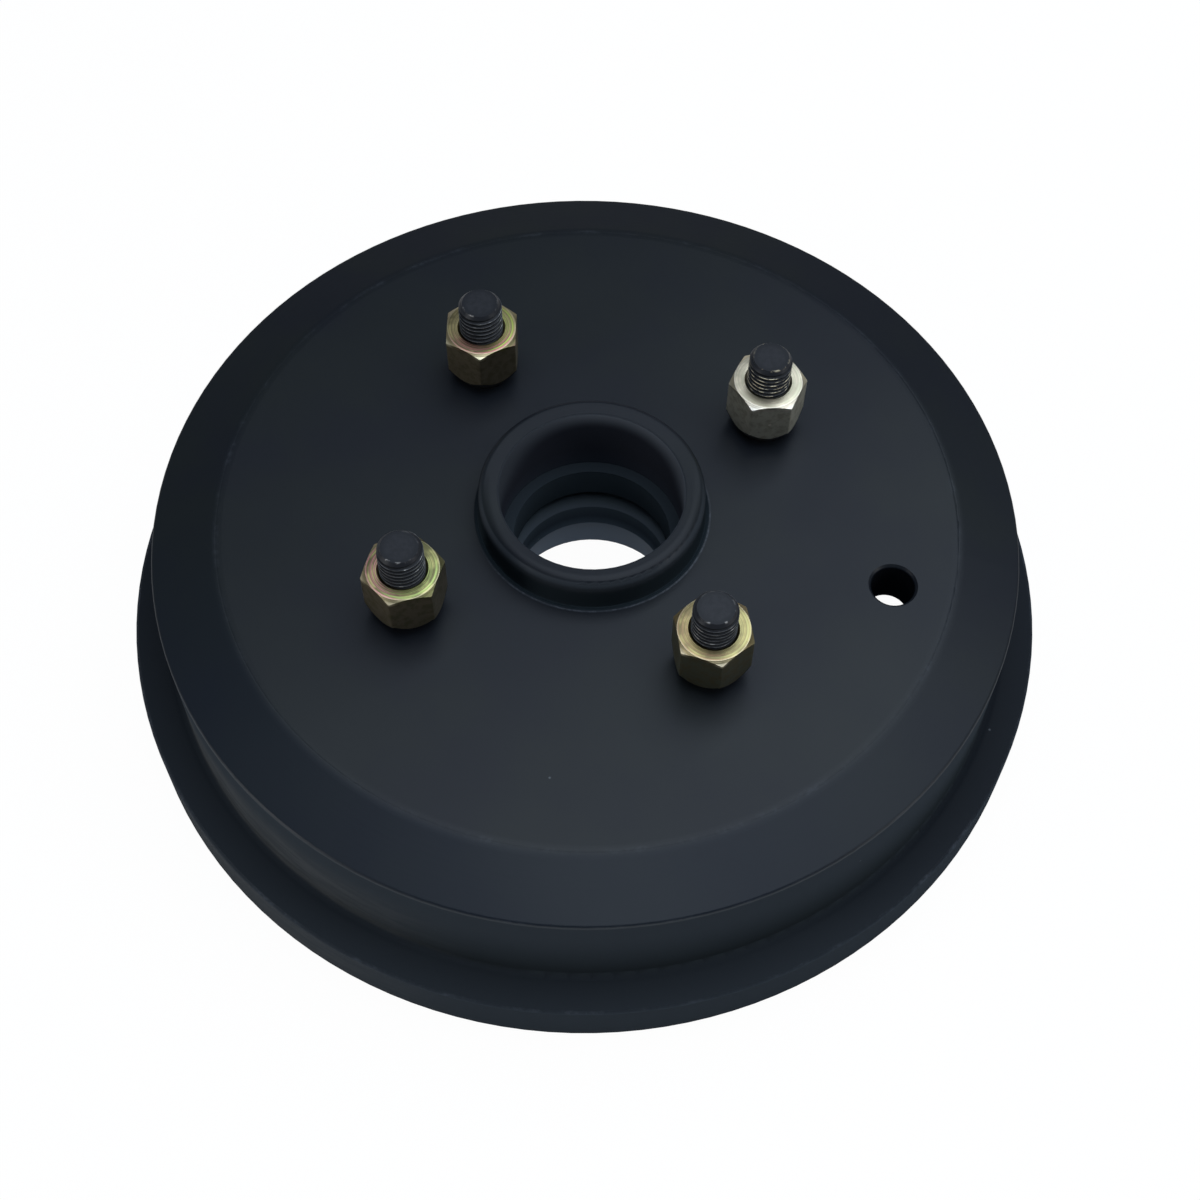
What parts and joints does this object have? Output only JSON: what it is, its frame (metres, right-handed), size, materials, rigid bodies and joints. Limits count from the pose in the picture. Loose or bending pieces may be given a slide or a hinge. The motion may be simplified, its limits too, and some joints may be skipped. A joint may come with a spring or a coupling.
{
  "type": "brake drum",
  "caption": "Black cast iron brake drum in one piece with its hub, with a wide lip, a stepped bearing bore, an adjuster hole, and wheel studs with cone-seated hexagonal nuts.",
  "frame": {"origin": "on the drum axis, in the plane of the open rim that the drum stands on", "axes": "+Z along the drum axis, from the open rim to the wheel face; +X towards the adjuster hole, which lies 8.6 degrees clockwise of it seen from above"},
  "size_m": [0.258, 0.258, 0.0831],
  "materials": {
    "black_coated_iron": "thin satin black coating over cast and turned iron",
    "black_phosphated_steel": "oiled black phosphate on rolled thread",
    "yellow_zinc_steel": "yellow passivated zinc plate, bright turned top ring"
  },
  "bodies": {
    "root": {"hub_drum": "black_coated_iron", "wheel_stud_1": "black_phosphated_steel", "wheel_stud_2": "black_phosphated_steel", "wheel_stud_3": "black_phosphated_steel", "wheel_stud_4": "black_phosphated_steel", "wheel_nut_1": "yellow_zinc_steel", "wheel_nut_2": "yellow_zinc_steel", "wheel_nut_3": "yellow_zinc_steel", "wheel_nut_4": "yellow_zinc_steel"}
  },
  "joints": []
}
